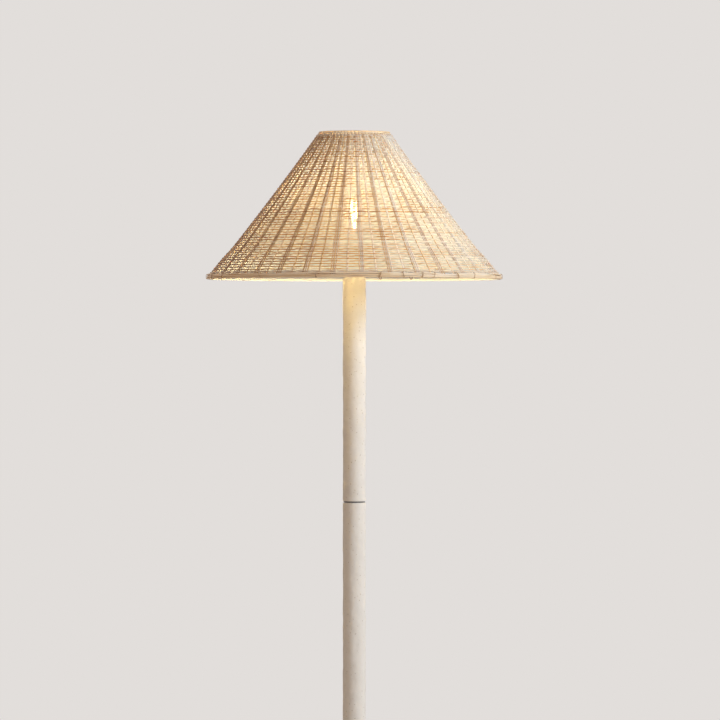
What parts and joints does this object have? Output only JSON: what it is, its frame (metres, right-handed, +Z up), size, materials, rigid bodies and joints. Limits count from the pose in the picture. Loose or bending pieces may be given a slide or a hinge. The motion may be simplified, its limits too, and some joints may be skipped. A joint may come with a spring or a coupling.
{
  "type": "floor lamp",
  "caption": "Floor lamp with a conical woven rattan shade on a harp, a straight round sectional column, a turn-knob socket and a round weighted base.",
  "frame": {"origin": "on the floor, under the middle of the round base", "axes": "+Z up along the column, -Y the front, with the switch knob; the harp lies in the XZ plane and the cord grommet faces +Y"},
  "size_m": [0.508, 0.508, 1.4735],
  "materials": {
    "plaster_coat": "rough trowelled plaster-like coat, matt, chalky off-white",
    "plaster_collar": "rough trowelled plaster-like coat, matt, chalky off-white",
    "rattan_weavers": "natural round rattan core, satin, light honey",
    "rattan_stakes": "natural rattan cane, satin, darker honey brown",
    "rattan_border": "bundled rattan cane with cane lashing, satin",
    "liner_sheet": "thin off-white lampshade laminate, translucent, matt",
    "zinc_steel": "zinc plated, dull bright",
    "satin_nickel": "satin nickel plate",
    "bulb_metal": "rolled thread, bright",
    "plug_alloy": "turned, plain",
    "cast_iron": "as cast, dark",
    "rubber": "matt black",
    "brass": "satin",
    "black_plastic": "phenolic, satin black",
    "fibre": "pressed fibre, dull brown",
    "bulb_glass": "clear, lit warm white from inside",
    "filament": "glass stem with coated filament strips",
    "lead_jacket": "smooth soft jacket"
  },
  "bodies": {
    "lamp_frame": {"rubber_foot_1": "rubber", "rubber_foot_2": "rubber", "rubber_foot_3": "rubber", "rubber_foot_4": "rubber", "base_plate": "zinc_steel", "plate_screw_1": "zinc_steel", "plate_screw_2": "zinc_steel", "plate_screw_3": "zinc_steel", "plate_screw_4": "zinc_steel", "base_cover": "plaster_coat", "cord_grommet": "rubber", "base_weight": "cast_iron", "base_rod": "zinc_steel", "clamp_washer": "zinc_steel", "clamp_nut": "zinc_steel", "base_collar": "plaster_collar", "column_tube_lower": "plaster_coat", "column_tube_middle": "plaster_coat", "column_tube_upper": "plaster_coat", "plug_lower_foot": "plug_alloy", "plug_lower_head": "plug_alloy", "plug_middle_foot": "plug_alloy", "plug_middle_head": "plug_alloy", "plug_upper_foot": "plug_alloy", "plug_upper_head": "plug_alloy", "seam_stud_lower": "zinc_steel", "seam_stud_middle": "zinc_steel", "seam_washer_lower": "rubber", "seam_washer_middle": "rubber", "column_cap": "plaster_coat", "top_nipple": "zinc_steel", "harp_saddle": "satin_nickel", "harp": "satin_nickel", "socket_cap": "satin_nickel", "socket_shell": "satin_nickel", "socket_liner": "fibre", "switch_body": "black_plastic", "thread_shell": "brass", "centre_contact": "brass", "terminal_screw_left": "brass", "terminal_screw_right": "brass", "inner_lead": "lead_jacket"},
    "switch": {"switch_knob": "black_plastic", "switch_shaft": "brass"},
    "bulb": {"bulb_base": "bulb_metal", "bulb_contact": "brass", "bulb_glass": "bulb_glass", "bulb_stem": "filament"},
    "sleeve_left": {"harp_sleeve_left": "satin_nickel"},
    "sleeve_right": {"harp_sleeve_right": "satin_nickel"},
    "swivel": {"swivel_stud": "brass"},
    "shade": {"shade_weave": "rattan_weavers", "shade_stakes": "rattan_stakes", "shade_bottom_border": "rattan_border", "shade_top_border": "rattan_border", "shade_liner": "liner_sheet", "shade_bottom_ring": "zinc_steel", "shade_spider": "zinc_steel"},
    "finial": {"finial": "brass"}
  },
  "joints": [
    {"name": "switch_turn", "type": "hinge", "parent": "lamp_frame", "child": "switch", "pos_m": [0, -0.0265, 1.2614], "axis": [0, -1, 0], "continuous": true},
    {"name": "bulb_unscrew", "type": "slide", "parent": "lamp_frame", "child": "bulb", "axis": [0, 0, 1], "range_m": [0, 0.04]},
    {"name": "harp_sleeve_left_slide", "type": "slide", "parent": "lamp_frame", "child": "sleeve_left", "axis": [0, 0, 1], "range_m": [0, 0.014]},
    {"name": "harp_sleeve_right_slide", "type": "slide", "parent": "lamp_frame", "child": "sleeve_right", "axis": [0, 0, 1], "range_m": [0, 0.014]},
    {"name": "shade_swivel", "type": "hinge", "parent": "lamp_frame", "child": "swivel", "pos_m": [0, 0, 1.448], "axis": [0, 0, 1], "continuous": true},
    {"name": "shade_lift", "type": "slide", "parent": "swivel", "child": "shade", "axis": [0, 0, 1], "range_m": [0, 0.26]},
    {"name": "finial_lift", "type": "slide", "parent": "shade", "child": "finial", "axis": [0, 0, 1], "range_m": [0, 0.04]}
  ]
}
